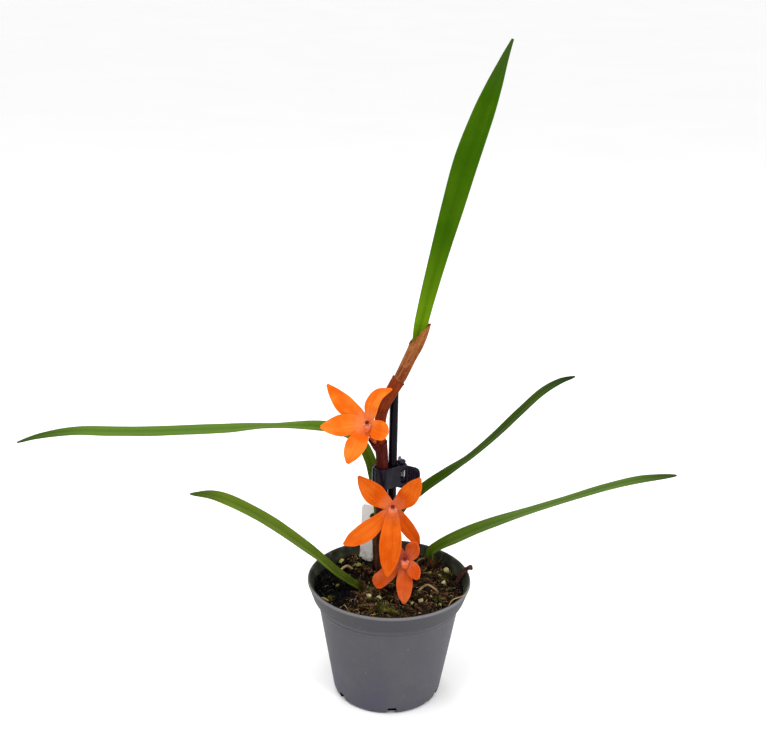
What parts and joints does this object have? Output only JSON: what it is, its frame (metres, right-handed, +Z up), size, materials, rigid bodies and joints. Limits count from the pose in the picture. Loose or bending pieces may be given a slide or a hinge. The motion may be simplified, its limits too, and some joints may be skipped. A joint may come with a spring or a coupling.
{
  "type": "potted ceratostylis retisquama orchid",
  "caption": "Small orchid with narrow curved leaves and star-shaped orange blooms in a round grey nursery pot, tied to a thin stake by a spring clip.",
  "frame": {"origin": "centre of the pot's flat bottom", "axes": "+Z up, -Y the front that the blooms face, +X towards the lower right leaf"},
  "size_m": [0.2433, 0.0615, 0.2349],
  "materials": {
    "pot_plastic": "satin moulded",
    "soil_mix": "rough damp bark and peat",
    "sheath_paper": "dry netted",
    "leaf_green": "satin",
    "tepal_orange": "soft sheen",
    "lip_pink": "soft sheen",
    "black_plastic": "gloss moulded",
    "spring_steel": "bright wire",
    "label_plastic": "matte"
  },
  "bodies": {
    "plant": {"pot": "pot_plastic", "soil": "soil_mix", "stem_main": "sheath_paper", "sheath_left_high": "sheath_paper", "sheath_right_high": "sheath_paper", "sheath_left_low": "sheath_paper", "sheath_right_low": "sheath_paper", "leaf_tall": "leaf_green", "leaf_left_high": "leaf_green", "leaf_left_low": "leaf_green", "leaf_right_high": "leaf_green", "leaf_right_low": "leaf_green", "bloom_top": "tepal_orange", "lip_top": "lip_pink", "bloom_middle": "tepal_orange", "lip_middle": "lip_pink", "bloom_low": "tepal_orange", "lip_low": "lip_pink", "stake": "black_plastic", "clip_front": "black_plastic", "clip_pin": "black_plastic", "clip_spring": "spring_steel", "label": "label_plastic"},
    "clip_jaw": {"clip_back": "black_plastic"}
  },
  "joints": [
    {"name": "clip_hinge", "type": "hinge", "parent": "plant", "child": "clip_jaw", "pos_m": [0.00345, 0.00934, 0.0826], "axis": [0, 0, -1], "range_deg": [0, 22], "stiffness_Nm_per_rad": 0.001, "springref_deg": -17.19}
  ]
}
